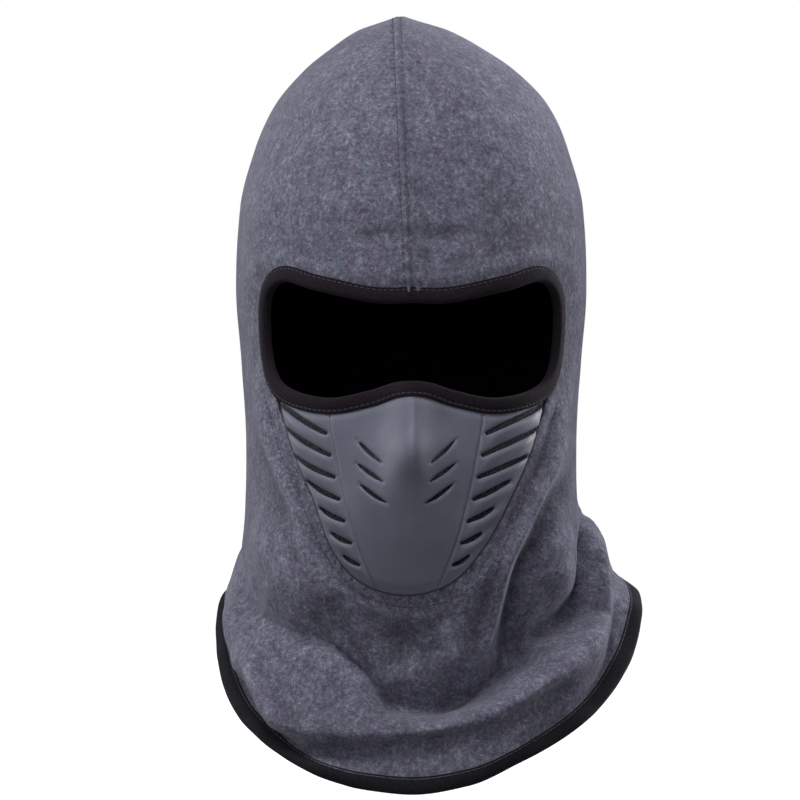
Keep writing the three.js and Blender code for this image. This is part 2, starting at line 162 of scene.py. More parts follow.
def keyed(keys, period=None):
    """A smooth function through (at, value) keys, with no overshoot."""
    keys = sorted(keys)
    if period:
        keys = [(at + turn * period, value) for turn in (-1, 0, 1) for at, value in keys]
        keys = sorted(dict(keys).items())
    at, value = np.array(keys, float).T
    rise = np.diff(value) / np.diff(at)
    before, after = np.r_[rise[0], rise], np.r_[rise, rise[-1]]
    same_way = before * after > 0
    slope = np.where(same_way, 2 * before * after / np.where(same_way, before + after, 1), 0)

    def through(x):
        x = np.clip(x, at[0], at[-1])
        i = np.clip(np.searchsorted(at, x, side="right") - 1, 0, len(at) - 2)
        step = at[i + 1] - at[i]
        t = (x - at[i]) / step
        s = 1 - t
        ends = value[i] * s * s * (1 + 2 * t) + value[i + 1] * t * t * (3 - 2 * t)
        return ends + step * t * s * (slope[i] * s - slope[i + 1] * t)

    return through


def smoothstep(value, low, high):
    t = np.clip((value - low) / (high - low), 0, 1)
    return t * t * (3 - 2 * t)


def hump(distance, width):
    return np.exp(-((distance / width) ** 2))


def unit(vectors):
    return vectors / np.maximum(np.linalg.norm(vectors, axis=-1, keepdims=True), 1e-9)


def ripples(points, wavelength, seed):
    """Smooth noise of about -1 to 1, from a few plane waves in set directions."""
    rng = np.random.default_rng(seed)
    total = np.zeros(points.shape[:-1])
    for _ in range(7):
        way = unit(rng.normal(size=3)) * 2 * math.pi / (wavelength * rng.uniform(0.7, 1.5))
        total += np.sin(points @ way + rng.uniform(0, 2 * math.pi))
    return total / 3


def smooth_line(points, count, closed=False):
    """A Catmull-Rom curve through the points, as count evenly spaced points."""
    points = np.array(points, float)
    if closed:
        held = np.vstack([points[-1], points, points[0], points[1]])
    else:
        held = np.vstack([2 * points[0] - points[1], points, 2 * points[-1] - points[-2]])
    t = np.linspace(0, 1, 24, endpoint=False)[:, None]
    parts = []
    for a, b, c, d in zip(held, held[1:], held[2:], held[3:]):
        square = 2 * a - 5 * b + 4 * c - d
        cube = 3 * b - a - 3 * c + d
        parts.append((2 * b + (c - a) * t + square * t**2 + cube * t**3) / 2)
    dense = np.vstack(parts + [held[-2:-1]])
    length = np.r_[0, np.cumsum(np.linalg.norm(np.diff(dense, axis=0), axis=1))]
    wanted = np.linspace(0, length[-1], count + 1 if closed else count)
    even = np.stack([np.interp(wanted, length, dense[:, k]) for k in range(dense.shape[1])], axis=1)
    return even[:-1] if closed else even


def mirrored(half):
    """A closed outline from its right half, listed from one end of the middle line to the other."""
    left = [(-x, z) for x, z in reversed(half) if x > 0]
    return list(half) + left


def to_line(x, z, line, closed=False):
    """Distance from points to a flat line, positive to the right of its way, and the share along it."""
    start = line if closed else line[:-1]
    end = np.roll(line, -1, axis=0) if closed else line[1:]
    flat_x, flat_z = np.ravel(x), np.ravel(z)
    best = np.full(flat_x.shape, 1e9)
    side = np.ones(flat_x.shape)
    share = np.zeros(flat_x.shape)
    for i, (a, b) in enumerate(zip(start, end)):
        way = b - a
        px, pz = flat_x - a[0], flat_z - a[1]
        t = np.clip((px * way[0] + pz * way[1]) / (way @ way), 0, 1)
        dx, dz = px - t * way[0], pz - t * way[1]
        distance = np.hypot(dx, dz)
        nearer = distance < best - 1e-9
        best = np.where(nearer, distance, best)
        side = np.where(nearer, np.sign(way[1] * px - way[0] * pz + 1e-12), side)
        share = np.where(nearer, (i + t) / len(start), share)
    shape = np.shape(x)
    return (best * side).reshape(shape), share.reshape(shape)


def outside(x, z, outline):
    """Distance outside a closed outline, negative inside it."""
    distance, _ = to_line(x, z, outline, closed=True)
    inside = np.zeros(np.shape(x), bool)
    for (ax, az), (bx, bz) in zip(outline, np.roll(outline, -1, axis=0)):
        crosses = (az > z) != (bz > z)
        where = ax + (z - az) * (bx - ax) / (bz - az if bz != az else 1e-9)
        inside ^= crosses & (x < where)
    return np.where(inside, -np.abs(distance), np.abs(distance))


# ---- The skin ----

half_width = keyed(HALF_WIDTH)
front_y = keyed(FRONT_Y)
back_y = keyed(BACK_Y)
widest_y = keyed(WIDEST_Y)
squareness = keyed(SQUARENESS)
roundness_behind = keyed(ROUNDNESS_BEHIND)
nose_height = keyed(NOSE_HEIGHT)
nose_width = keyed(NOSE_WIDTH)
crown_lean = keyed(CROWN_LEAN)
seam_x = keyed(SEAM_X)


def skin(angle, z):
    """The smooth outer face of the hood, at angles in radians and heights."""
    side, ahead = np.sin(angle), np.cos(angle)
    in_front = ahead > 0
    power = np.where(in_front, squareness(z), roundness_behind(z))
    depth = np.where(in_front, widest_y(z) - front_y(z), back_y(z) - widest_y(z))
    x = half_width(z) * np.sign(side) * np.abs(side) ** (2 / power)
    y = widest_y(z) - depth * ahead
    y = y - np.where(in_front, nose_height(z) * np.exp(-((np.abs(x) / nose_width(z)) ** 1.7)), 0)
    return np.stack([x + crown_lean(z), y, z + 0 * x], axis=-1)


def front_point(x, z):
    """The skin's point with this x and z, on the front half."""
    x, z = np.broadcast_arrays(np.asarray(x, float), np.asarray(z, float))
    low, high = np.zeros(x.shape), np.full(x.shape, math.pi / 2)
    for _ in range(30):
        middle = (low + high) / 2
        short = skin(middle, z)[..., 0] < np.abs(x)
        low, high = np.where(short, middle, low), np.where(short, high, middle)
    return skin(np.sign(x) * low, z)


def front_frame(x, z):
    """The skin's point and outward normal at this x and z, on the front half."""
    here = front_point(x, z)
    step = 0.4
    across = front_point(x + step, z) - front_point(x - step, z)
    up = front_point(x, z + step) - front_point(x, z - step)
    return here, unit(np.cross(across, up))


EYE_LINE = smooth_line(mirrored(EYE_EDGE), 260, closed=True)
MASK_LINE = smooth_line(mirrored(MASK_EDGE), 220, closed=True)
MASK_LEAN = -3  # how far the mask's middle lies beside the eye opening's
MASK_LINE[:, 0] += MASK_LEAN * smoothstep(-MASK_LINE[:, 1], 80, 120)

# ---- The cloth's rows and columns ----

COLUMNS = 360
DOME_ROWS = 56
SIDE_ROWS = 92
NECK_Z = -75  # the loft of the collar begins here
RING_STEP = 15
ROWS_PER_RING = 9
VALLEY_ROW = 6 * ROWS_PER_RING  # rows from the collar's first one to its valley


def column_angles():
    """Angles round the head, evenly spaced along the cloth and closer together at the centre seam."""
    dense = np.linspace(0, 2 * math.pi, 7201)
    points = skin(dense, np.full(dense.shape, 20.0))
    steps = np.linalg.norm(np.diff(points, axis=0), axis=1)
    middle = (points[1:] + points[:-1]) / 2
    crowding = 1 + 2.2 * hump(middle[:, 0] + 1.5, 9)
    length = np.r_[0, np.cumsum(steps * crowding)]
    return np.interp(np.linspace(0, length[-1], COLUMNS, endpoint=False), length, dense)


def collar_rings(angle):
    """Control rings of the collar, as heights and distances out: [ring, column]."""
    degrees = np.degrees(angle)
    degrees = np.where(degrees > 270, degrees - 360, degrees)
    (bib, valley_z, valley, crest_z, crest, under_z, tuck, hem_z, hem, flare, fold) = (
        keyed(keys, 360)(degrees) for keys in COLLAR_KEYS
    )
    span = NECK_Z - valley_z
    folded = [
        (NECK_Z - 0.25 * span, 0 * bib),
        (NECK_Z - 0.5 * span, 0.1 * bib),
        (NECK_Z - 0.76 * span, 0.9 * bib + 0.15 * valley),
        (NECK_Z - 0.93 * span, 0.3 * bib + 0.7 * valley),
        (valley_z - 1, valley - 2),
        (valley_z - 3, valley + 3),
        (0.5 * (valley_z + crest_z), 0.35 * valley + 0.65 * crest),
        (crest_z, crest + 1),
        (0.45 * crest_z + 0.55 * under_z, crest + 1.5),
        (under_z + 1, 0.6 * crest + 0.4 * hem - tuck - 0.4 * flare),
        (under_z - 0.3 * (under_z - hem_z), 0.4 * crest + 0.6 * hem - 0.7 * tuck - 0.8 * flare),
        (under_z - 0.65 * (under_z - hem_z), hem + 1.5 - flare),
    ]
    rings = [(0 * hem + NECK_Z + RING_STEP * k, 0 * hem) for k in (2, 1, 0)]
    for k, (z, out) in enumerate(folded):
        share = (k + 1) / (len(folded) + 1)
        plain_z, plain_out = NECK_Z + (hem_z - NECK_Z) * share, hem * share**1.2
        rings.append((plain_z + (z - plain_z) * fold, plain_out + (out - plain_out) * fold))
    rings += [(hem_z, hem)] * 3
    return np.array([z for z, _ in rings]), np.array([out for _, out in rings])


def b_spline_rows(controls):
    """Rows through a uniform cubic B-spline of control rings, from the second control on."""
    rows = []
    t = np.linspace(0, 1, ROWS_PER_RING, endpoint=False)[:, None]
    for a, b, c, d in zip(controls, controls[1:], controls[2:], controls[3:]):
        second = 3 * t**3 - 6 * t**2 + 4
        third = -3 * t**3 + 3 * t**2 + 3 * t + 1
        rows.append(((1 - t) ** 3 * a + second * b + third * c + t**3 * d) / 6)
    return np.vstack(rows + [controls[-1:]])


def cloth_grid():
    """The cloth's outer face without relief: points [row, column, 3], and the first collar row."""
    angle = column_angles()
    turn = np.linspace(0.02, 1, DOME_ROWS, endpoint=False) * math.pi / 2
    dome = DOME_Z + (CROWN_Z - DOME_Z) * np.cos(turn)
    side = np.linspace(DOME_Z, NECK_Z + RING_STEP, SIDE_ROWS, endpoint=False)
    straight = np.r_[dome, side][:, None] + 0 * angle
    ring_z, ring_out = collar_rings(angle)
    z = np.vstack([straight, b_spline_rows(ring_z)])
    out = np.vstack([0 * straight, b_spline_rows(ring_out)])
    points = skin(np.broadcast_to(angle, z.shape), z)
    points[..., 0] += out * np.sin(angle)
    points[..., 1] -= out * np.cos(angle)
    return points, len(straight)


def grid_normals(points):
    """Outward normals of a grid whose columns close on themselves."""
    around = np.roll(points, -1, axis=1) - np.roll(points, 1, axis=1)
    down = np.gradient(points, axis=0)
    return unit(np.cross(down, around))


# ---- Relief of the fleece ----

# Ridges and hollows: the flat line (x, z) each one follows, its height, its width to the left and to the
# right of that line, and the share of its length over which each end fades.
BESIDE_MASK = [
    (81, -40), (77, -52), (67, -78), (57, -100), (48, -122), (44, -140), (39, -158), (29, -178),
]
NECK_FOLDS = [
    (BESIDE_MASK, 7.5, 10, 3.6, 0.25),
    ([(x + 10, z - 3) for x, z in BESIDE_MASK[1:]], -10.5, 5.5, 12, 0.3),
    ([(-84, -50), (-80, -64), (-70, -88), (-60, -106)], -2.6, 6, 8, 0.3),
    ([(-85, -88), (-76, -110), (-62, -126), (-40, -140)], 3, 10, 10, 0.3),
    ([(-2, -142), (-5, -158), (-2, -176)], -3.5, 10, 10, 0.35),
    ([(16, -142), (20, -158), (17, -176)], 3, 7, 7, 0.3),
    ([(-41, -150), (-31, -164), (-21, -176)], 2.2, 1.8, 6, 0.3),
    ([(84, -92), (79, -118), (74, -138)], 4, 8, 8, 0.35),
]
HEM_FOLDS = [
    ([(104, -158), (88, -182), (66, -199), (38, -212)], 2.6, 5, 5, 0.25),
    ([(-93, -138), (-88, -156), (-81, -177), (-73, -194), (-62, -210)], 4, 4, 6, 0.2),
    ([(-93, -170), (-86, -186), (-78, -199), (-70, -209)], -2.6, 4, 3.5, 0.25),
]
FOREHEAD_FOLDS = [
    ([(-34, 48), (-14, 52), (-4, 50)], -1.8, 4, 4, 0.35),
    ([(2, 54), (16, 51), (33, 56)], -1.8, 4, 4, 0.35),
    ([(4, 46), (9, 35), (7, 24)], -1.2, 1.8, 1.8, 0.3),
    ([(12, 42), (15, 32), (17, 24)], 0.9, 3, 3, 0.3),
]
SEAM_PUCKER_PITCH = 7.3


def ridge(x, z, points, height, left, right, taper):
    distance, share = to_line(x, z, smooth_line(points, 30))
    ends = smoothstep(share, 0, taper) * (1 - smoothstep(share, 1 - taper, 1))
    return height * ends * np.where(distance < 0, hump(distance, left), hump(distance, right))


def fold_relief(points, rows_from_collar):
    """The loose folds: soft waves, the neck's and the collar's folds, and the forehead's crease."""
    x, y, z = np.moveaxis(points, -1, 0)
    above_valley = 1 - smoothstep(rows_from_collar, VALLEY_ROW - 10, VALLEY_ROW + 2)
    below_crest = smoothstep(rows_from_collar, VALLEY_ROW + 16, VALLEY_ROW + 28)
    off_hem = 1 - smoothstep(rows_from_collar, VALLEY_ROW + 52, VALLEY_ROW + 64)
    in_front = smoothstep(-y, 25, 60)
    height = 2 * ripples(points, 60, 9) * smoothstep(-z, 40, 110) * smoothstep(y, 0, 50)
    height += 0.8 * ripples(points, 70, 3) + 0.45 * ripples(points, 26, 5) * smoothstep(-z, 60, 130)
    neck = sum(ridge(x, z, *fold) for fold in NECK_FOLDS)
    height = height + above_valley * in_front * neck
    hem = sum(ridge(x, z, *fold) for fold in HEM_FOLDS)
    height = height + below_crest * off_hem * smoothstep(-y, 0, 40) * hem
    for fold in FOREHEAD_FOLDS:
        height = height + in_front * ridge(x, z, *fold)
    return height


def seam_relief(x, y, z):
    """The centre seam, from the eye opening over the crown and down the back."""
    behind = y > 8
    on_seam = np.where(behind, 1, smoothstep(z, 16, 22))
    off = x - np.where(behind, CROWN_LEAN[0][1] * smoothstep(z, 60, CROWN_Z), seam_x(z))
    on_seam = on_seam * (1 - 0.75 * smoothstep(z, 164, 168.5))
    along = 95 * np.arctan2(z - 20, np.abs(y))
    pucker = 0.4 * np.sin(along * 2 * math.pi / SEAM_PUCKER_PITCH + 1.3 * np.sin(along / 9))
    beads = 0.8 * hump(off - 2.4, 1.3) + 0.8 * hump(off + 2.3, 1.2)
    sewn = -1.5 * hump(off, 0.85) + beads - 0.8 * hump(off + 4.1, 0.8)
    return on_seam * (sewn + pucker * hump(off + 2, 4.5))


def relief(points, rows_from_collar):
    """How far the cloth stands out from the smooth shape: its broad folds, and all of it."""
    x, y, z = np.moveaxis(points, -1, 0)
    height = fold_relief(points, rows_from_collar)

    # The binding and the mask hold the cloth still beside them.
    forward = 1 - smoothstep(y, -20, 20)
    from_eye = outside(x, z, EYE_LINE)
    from_mask = outside(x, z, MASK_LINE)
    height = height * (1 - forward * (1 - smoothstep(from_eye, 5, 17)))
    squeezed = -0.9 * (1 - smoothstep(from_eye, 2, 9)) + 0.8 * hump(from_eye - 12, 3.5)
    low = smoothstep(-z, 112, 130)
    puffed = 2.1 * hump(from_mask - 9.5, 3.6) * (1 - 0.75 * low)
    pressed = -1.1 * (1 - smoothstep(from_mask, 4.2, 6.4)) - 0.9 * hump(from_mask - 5, 0.8)
    rolled = -1.1 * (1 - smoothstep(from_mask, 0, 1.3))
    at_mask = smoothstep(-z, 24, 44)
    height = height * (1 - forward * (1 - smoothstep(from_mask, 2, 14)) * at_mask)
    height = height * (1 - smoothstep(z, 155, 167))
    broad = height + forward * (squeezed + at_mask * puffed)
    height = broad + forward * at_mask * (pressed + rolled)
    return broad, height + seam_relief(x, y, z)


# ---- Meshes ----


def grid_triangles(rows, columns, closed):
    """Two triangles for each cell of a grid of points, as point numbers."""
    across = np.arange(columns if closed else columns - 1)
    down = np.arange(rows - 1)[:, None] * columns
    a, b = down + across, down + (across + 1) % columns
    c, d = a + columns, b + columns
    return np.stack([np.stack([a, c, b], -1), np.stack([b, c, d], -1)], axis=2).reshape(-1, 3)


def triangle_edges(triangles):
    return np.vstack([triangles[:, [0, 1]], triangles[:, [1, 2]], triangles[:, [2, 0]]])


def trimmed(points, triangles, keep):
    """Triangles where keep is positive, with the points beside its zero line moved onto that line."""
    points, keep = points.copy(), keep.copy()
    a, b = np.unique(np.sort(triangle_edges(triangles)), axis=0).T
    crossing = keep[a] * keep[b] < 0
    a, b = a[crossing], b[crossing]
    share = keep[a] / (keep[a] - keep[b])
    mover = np.where(share < 0.5, a, b)
    target = points[a] + (points[b] - points[a]) * share[:, None]
    order = np.argsort(-np.minimum(share, 1 - share))  # the shortest move is written last and wins
    points[mover[order]] = target[order]
    keep[mover] = 0
    corner = keep[triangles]
    return points, triangles[(corner.min(axis=1) >= 0) & (corner.max(axis=1) > 0)]


def used_only(points, triangles, *extra):
    """The points that the triangles use, renumbered, and the same rows of the extra arrays."""
    used, renumbered = np.unique(triangles, return_inverse=True)
    return (points[used], renumbered.reshape(-1, 3), *(values[used] for values in extra))


def closed_layer(outer, inner, triangles):
    """A closed sheet: its outer face, its inner face, and walls round their borders."""
    count = len(outer)
    edges = triangle_edges(triangles)
    _, first, number = np.unique(np.sort(edges), axis=0, return_index=True, return_counts=True)
    border = edges[first[number == 1]]
    walls = np.vstack([
        np.stack([border[:, 1], border[:, 0], border[:, 0] + count], -1),
        np.stack([border[:, 1], border[:, 0] + count, border[:, 1] + count], -1),
    ])
    return np.vstack([outer, inner]), np.vstack([triangles, triangles[:, ::-1] + count, walls])


def add_object(name, data):
    obj = bpy.data.objects.new(name, data)
    bpy.context.scene.collection.objects.link(obj)
    return obj


def mesh_object(name, points, faces, material, slot):
    """A smooth mesh object from points in millimetres, riding on the root body."""
    mesh = bpy.data.meshes.new(name)
    mesh.from_pydata((np.asarray(points) * MM).tolist(), [], [list(map(int, face)) for face in faces])
    mesh.polygons.foreach_set("use_smooth", [True] * len(mesh.polygons))
    mesh.validate()
    mesh.update()
    mesh.materials.append(material)
    obj = add_object(name, mesh)
    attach(obj, "root")
    return obj


def swept(rings, closed_way=True):
    """Points and faces of closed section rings carried along a way."""
    count, size, _ = rings.shape
    last = count if closed_way else count - 1
    faces = []
    for k in range(last):
        here, onward = k * size, (k + 1) % count * size
        for i in range(size):
            j = (i + 1) % size
            faces.append((here + i, here + j, onward + j, onward + i))
    if not closed_way:
        faces += [tuple(range(size - 1, -1, -1)), tuple((count - 1) * size + i for i in range(size))]
    return rings.reshape(-1, 3), faces


def bulge(grid, normals, across, down):
    """How far each point stands out from its neighbours some columns and rows away, in millimetres."""
    beside = (np.roll(grid, across, axis=1) + np.roll(grid, -across, axis=1)) / 2
    rows = np.arange(len(grid))
    above, below = grid[np.maximum(rows - down, 0)], grid[np.minimum(rows + down, len(grid) - 1)]
    middle = (beside + (above + below) / 2) / 2
    return np.sum((grid - middle) * normals, axis=-1)


# ---- Materials ----

WHITE = (1, 1, 1)


def add_node(tree, kind, **values):
    node = tree.nodes.new("ShaderNode" + kind)
    for name, value in values.items():
        node.inputs[name].default_value = value
    return node


def new_material(name, color, roughness, sheen=0.0, sheen_tint=WHITE, sheen_roughness=0.5, specular=0.3):
    """A material, with its node tree and its shader."""
    material = bpy.data.materials.new(name)
    material.use_nodes = True
    tree = material.node_tree
    shader = tree.nodes["Principled BSDF"]
    values = {
        "Base Color": (*color, 1), "Roughness": roughness, "Specular IOR Level": specular,
        "Sheen Weight": sheen, "Sheen Roughness": sheen_roughness, "Sheen Tint": (*sheen_tint, 1),
    }
    for socket, value in values.items():
        shader.inputs[socket].default_value = value
    return material, tree, shader


def noise_texture(tree, scale, detail, roughness, stretch=None):
    """Noise in the object's own space, scale in features per metre."""
    texture = add_node(tree, "TexNoise", Scale=scale, Detail=detail, Roughness=roughness)
    source = add_node(tree, "TexCoord").outputs["Object"]
    if stretch:
        mapping = add_node(tree, "Mapping", Scale=stretch)
        tree.links.new(source, mapping.inputs["Vector"])
        source = mapping.outputs["Vector"]
    tree.links.new(source, texture.inputs["Vector"])
    return texture.outputs["Fac"]


def mixed(tree, first, second, share):
    """Two numbers blended."""
    mix = add_node(tree, "Mix", Factor=share)
    tree.links.new(first, mix.inputs["A"])
    tree.links.new(second, mix.inputs["B"])
    return mix.outputs["Result"]


def color_ramp(tree, factor, stops):
    """A colour from a number, through (position, colour) stops."""
    ramp = add_node(tree, "ValToRGB")
    elements = ramp.color_ramp.elements
    while len(elements) < len(stops):
        elements.new(0.5)
    for element, (position, color) in zip(elements, stops):
        element.position = position
        element.color = (*color, 1)
    tree.links.new(factor, ramp.inputs["Fac"])
    return ramp.outputs["Color"]


def set_color(tree, shader, factor, *stops):
    tree.links.new(color_ramp(tree, factor, stops), shader.inputs["Base Color"])


def add_bump(tree, shader, height, distance, strength):
    bump = add_node(tree, "Bump", Distance=distance, Strength=strength)
    tree.links.new(height, bump.inputs["Height"])
    tree.links.new(bump.outputs["Normal"], shader.inputs["Normal"])


def fleece_material():
    """Grey heather fleece of light and dark brushed fibres, soft in pile, with painted shade and highlight
    on its folds.
    """
    material, tree, shader = new_material(
        "heather_fleece", (0.14, 0.14, 0.18), 0.95,
        sheen=0.4, sheen_tint=(0.85, 0.86, 1), sheen_roughness=0.3, specular=0.1,
    )
    fibres = noise_texture(tree, 1000, 4, 0.8)
    tufts = noise_texture(tree, 430, 4, 0.7)
    clumps = noise_texture(tree, 120, 4, 0.65)
    mottle = mixed(tree, mixed(tree, fibres, tufts, 0.5), clumps, 0.22)
    cool = [(0.06, 0.068, 0.092), (0.13, 0.142, 0.19), (0.205, 0.222, 0.29), (0.42, 0.45, 0.56)]
    warm = [(0.068, 0.056, 0.086), (0.136, 0.122, 0.176), (0.205, 0.19, 0.262), (0.39, 0.375, 0.5)]
    blend = add_node(tree, "Mix")
    blend.data_type = "RGBA"
    color_sockets = [socket for socket in blend.inputs if socket.type == "RGBA"]
    for shades, socket in zip((cool, warm), color_sockets):
        tree.links.new(color_ramp(tree, mottle, list(zip((0.37, 0.47, 0.54, 0.64), shades))), socket)
    hue = color_ramp(tree, noise_texture(tree, 260, 3, 0.7), [(0.42, (0, 0, 0)), (0.58, WHITE)])
    tree.links.new(hue, blend.inputs["Factor"])
    blended = next(socket for socket in blend.outputs if socket.type == "RGBA")
    # The attribute scales the colour: painted highlight on the folds' crests, painted shade in their
    # hollows.
    attribute = add_node(tree, "Attribute")
    attribute.attribute_name = "nap_and_painted_shading"
    shade = add_node(tree, "VectorMath")
    shade.operation = "SCALE"
    tree.links.new(blended, shade.inputs[0])
    tree.links.new(attribute.outputs["Fac"], shade.inputs["Scale"])
    tree.links.new(shade.outputs["Vector"], shader.inputs["Base Color"])
    # This bump comes from the fibres alone and carries none of the painted shading.
    nap_and_painted_shading = mixed(tree, fibres, tufts, 0.55)
    add_bump(tree, shader, nap_and_painted_shading, 0.0013, 0.8)
    return material


def lining_material():
    """Black microfleece, darkened to near zero as painted shade for the dark inside of the hood, where it
    is seen only.
    """
    # Near-zero black: painted shade for the hollow inside the hood.
    black = (0.0025, 0.0025, 0.003)
    material, tree, shader = new_material("black_lining_painted_shade", black, 1, specular=0.02)
    add_bump(tree, shader, noise_texture(tree, 700, 4, 0.7), 0.0006, 0.6)
    return material


def mask_material():
    """Grey moulded foam rubber under a fine knit face."""
    material, tree, shader = new_material(
        "moulded_foam_rubber", (0.12, 0.125, 0.16), 0.5,
        sheen=0.12, sheen_tint=(0.85, 0.9, 1), specular=0.4,
    )
    cloud = mixed(tree, noise_texture(tree, 35, 4, 0.6), noise_texture(tree, 1800, 2, 0.6), 0.35)
    set_color(tree, shader, cloud, (0.35, (0.135, 0.138, 0.19)), (0.65, (0.195, 0.202, 0.27)))
    knit = noise_texture(tree, 1500, 2, 0.5, stretch=(1, 1, 1.7))
    knit = mixed(tree, knit, noise_texture(tree, 4200, 2, 0.5), 0.4)
    add_bump(tree, shader, knit, 0.00022, 0.55)
    return material


def backing_material():
    """Dark breathable mesh behind the mask's slots."""
    grey = (0.05, 0.048, 0.06)
    material, tree, shader = new_material("mesh_backing", grey, 0.9, sheen=0.1, specular=0.2)
    cells = add_node(tree, "TexVoronoi", Scale=700)
    tree.links.new(add_node(tree, "TexCoord").outputs["Object"], cells.inputs["Vector"])
    holes = cells.outputs["Distance"]
    set_color(tree, shader, holes, (0.1, (0.02, 0.02, 0.026)), (0.6, (0.11, 0.105, 0.135)))
    add_bump(tree, shader, holes, 0.0005, 0.7)
    return material


def binding_material(name, color, light):
    """Near-black knitted tape, with fine ribs along it."""
    material, tree, shader = new_material(
        name, color, 0.9,
        sheen=0.03, sheen_tint=(0.85, 0.8, 0.95), sheen_roughness=0.4, specular=0.15,
    )
    speckle = noise_texture(tree, 1100, 3, 0.7)
    set_color(tree, shader, speckle, (0.3, color), (0.75, light))
    ribs = add_node(tree, "TexWave", Scale=260, Distortion=1.5, Detail=1)
    tree.links.new(add_node(tree, "UVMap").outputs["UV"], ribs.inputs["Vector"])
    add_bump(tree, shader, mixed(tree, ribs.outputs["Fac"], speckle, 0.5), 0.0004, 0.6)
    return material


def thread_material():
    """Dark grey twisted polyester thread."""
    grey = (0.05, 0.05, 0.064)
    material, tree, shader = new_material("sewing_thread", grey, 0.6, sheen=0.1, specular=0.35)
    twist = noise_texture(tree, 2600, 2, 0.5)
    set_color(tree, shader, twist, (0.3, (0.03, 0.03, 0.04)), (0.7, (0.075, 0.075, 0.095)))
    add_bump(tree, shader, twist, 0.0002, 0.6)
    return material


def label_material():
    """Blank white satin tape."""
    cream = (0.66, 0.66, 0.63)
    material, tree, shader = new_material("satin_label", cream, 0.45, sheen=0.2, specular=0.4)
    weave = noise_texture(tree, 2200, 2, 0.5, stretch=(0.3, 1, 2))
    set_color(tree, shader, weave, (0.3, (0.56, 0.56, 0.53)), (0.7, (0.72, 0.72, 0.69)))
    add_bump(tree, shader, weave, 0.0001, 0.5)
    return material


FLEECE = fleece_material()
LINING = lining_material()
MASK = mask_material()
BACKING = backing_material()
EYE_TAPE = binding_material("eye_tape_knit", (0.009, 0.006, 0.01), (0.026, 0.02, 0.028))
HEM_TAPE = binding_material("hem_tape_knit", (0.009, 0.009, 0.012), (0.027, 0.027, 0.035))
THREAD = thread_material()
LABEL = label_material()

# ---- Cloth pieces ----

smooth_cloth, collar_row = cloth_grid()
ROWS = smooth_cloth.shape[0]
rows_from_collar = (np.arange(ROWS) - collar_row)[:, None] + np.zeros(COLUMNS)
smooth_normals = grid_normals(smooth_cloth)
broad_relief, whole_relief = relief(smooth_cloth, rows_from_collar)
broad_cloth = smooth_cloth + smooth_normals * broad_relief[..., None]
broad_normals = grid_normals(broad_cloth)
cloth = smooth_cloth + smooth_normals * whole_relief[..., None]
cloth_normals = grid_normals(cloth)

# The layers behind the outer face lie along its normals, and towards the head's middle under the crown.
HEAD_CENTRE = np.array([0, 5, 20])
at_crown = smoothstep(broad_cloth[..., 2:], 115, 150)
inward = -unit(broad_normals * (1 - at_crown) + unit(broad_cloth - HEAD_CENTRE) * at_crown)

# Painted highlight on the folds' crests and painted shade in their hollows: a colour factor from how far
# each point stands out from the cloth around it.
painted_fold_shading_grid = 1 + 0.2 * np.clip(bulge(broad_cloth, broad_normals, 4, 4) - 0.15, -1.6, 1.5)
painted_fold_shading_grid += 0.12 * np.clip(bulge(cloth, cloth_normals, 2, 2), -1, 1)
for _ in range(2):
    painted_fold_shading_grid = (painted_fold_shading_grid + np.roll(painted_fold_shading_grid, 1, axis=1) + np.roll(painted_fold_shading_grid, -1, axis=1)) / 3
    painted_fold_shading_grid[1:-1] = (painted_fold_shading_grid[:-2] + painted_fold_shading_grid[1:-1] + painted_fold_shading_grid[2:]) / 3
painted_fold_shading_grid[:8] = 1  # the rows under the crown's tip are too close together to compare


def layer_of_cloth(name, outer, inner, keep, material, slot, step=1):
    """One closed layer of the hood, between two grids of points, where keep is positive."""
    rows = np.r_[np.arange(0, ROWS - 1, step), ROWS - 1]
    both = np.concatenate([outer, inner, painted_fold_shading_grid[..., None]], axis=-1)[rows][:, ::step]
    count, columns = both.shape[:2]
    apex = both[0].mean(axis=0) + (0, 0, 0.1, 0, 0, 0.1, 0)
    points = np.vstack([both.reshape(-1, 7), apex])
    keeping = np.r_[keep[rows][:, ::step].ravel(), 100]
    ring = np.arange(columns)
    cap = np.stack([np.full(columns, count * columns), ring, (ring + 1) % columns], -1)
    triangles = np.vstack([grid_triangles(count, columns, True), cap])
    points, triangles = used_only(*trimmed(points, triangles, keeping))
    outer, inner, nap_and_painted_shading = points[:, :3], points[:, 3:6], points[:, 6]
    obj = mesh_object(name, *closed_layer(outer, inner, triangles), material, slot)
    # The painted fold shading goes on the mesh as a point attribute.
    obj.data.attributes.new("nap_and_painted_shading", "FLOAT", "POINT").data.foreach_set("value", np.r_[nap_and_painted_shading, nap_and_painted_shading])
    return obj, outer, triangles


x, y, z = np.moveaxis(smooth_cloth, -1, 0)
in_front = y < 10
from_eye = np.where(in_front, outside(x, z, EYE_LINE), 100)
from_mask = np.where(in_front, outside(x, z, MASK_LINE), 100)
hood, hood_points, hood_faces = layer_of_cloth(
    "fleece_hood_cloth", cloth, broad_cloth + inward * FLEECE_THICKNESS,
    np.minimum(from_eye, from_mask), FLEECE, "fleece",
)
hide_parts("fleece_hood")
lining, _, _ = layer_of_cloth(
    "inner_lining_cloth", broad_cloth + inward * LINING_DEPTH,
    broad_cloth + inward * (LINING_DEPTH + LINING_THICKNESS),
    np.minimum(from_eye, from_mask - LINING_GAP), LINING, "lining", step=2,
)
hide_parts("inner_lining")

on_hood = BVHTree.FromPolygons(hood_points.tolist(), hood_faces.tolist())


def on_cloth(start, way):
    """Where a ray meets the fleece, with the cloth's normal there."""
    place, normal, _, _ = on_hood.ray_cast(Vector(start), Vector(way).normalized())
    if place is None:
        return None
    if normal.dot(Vector(way)) > 0:
        normal = -normal
    return np.array(place), np.array(normal)


# ---- Mask ----

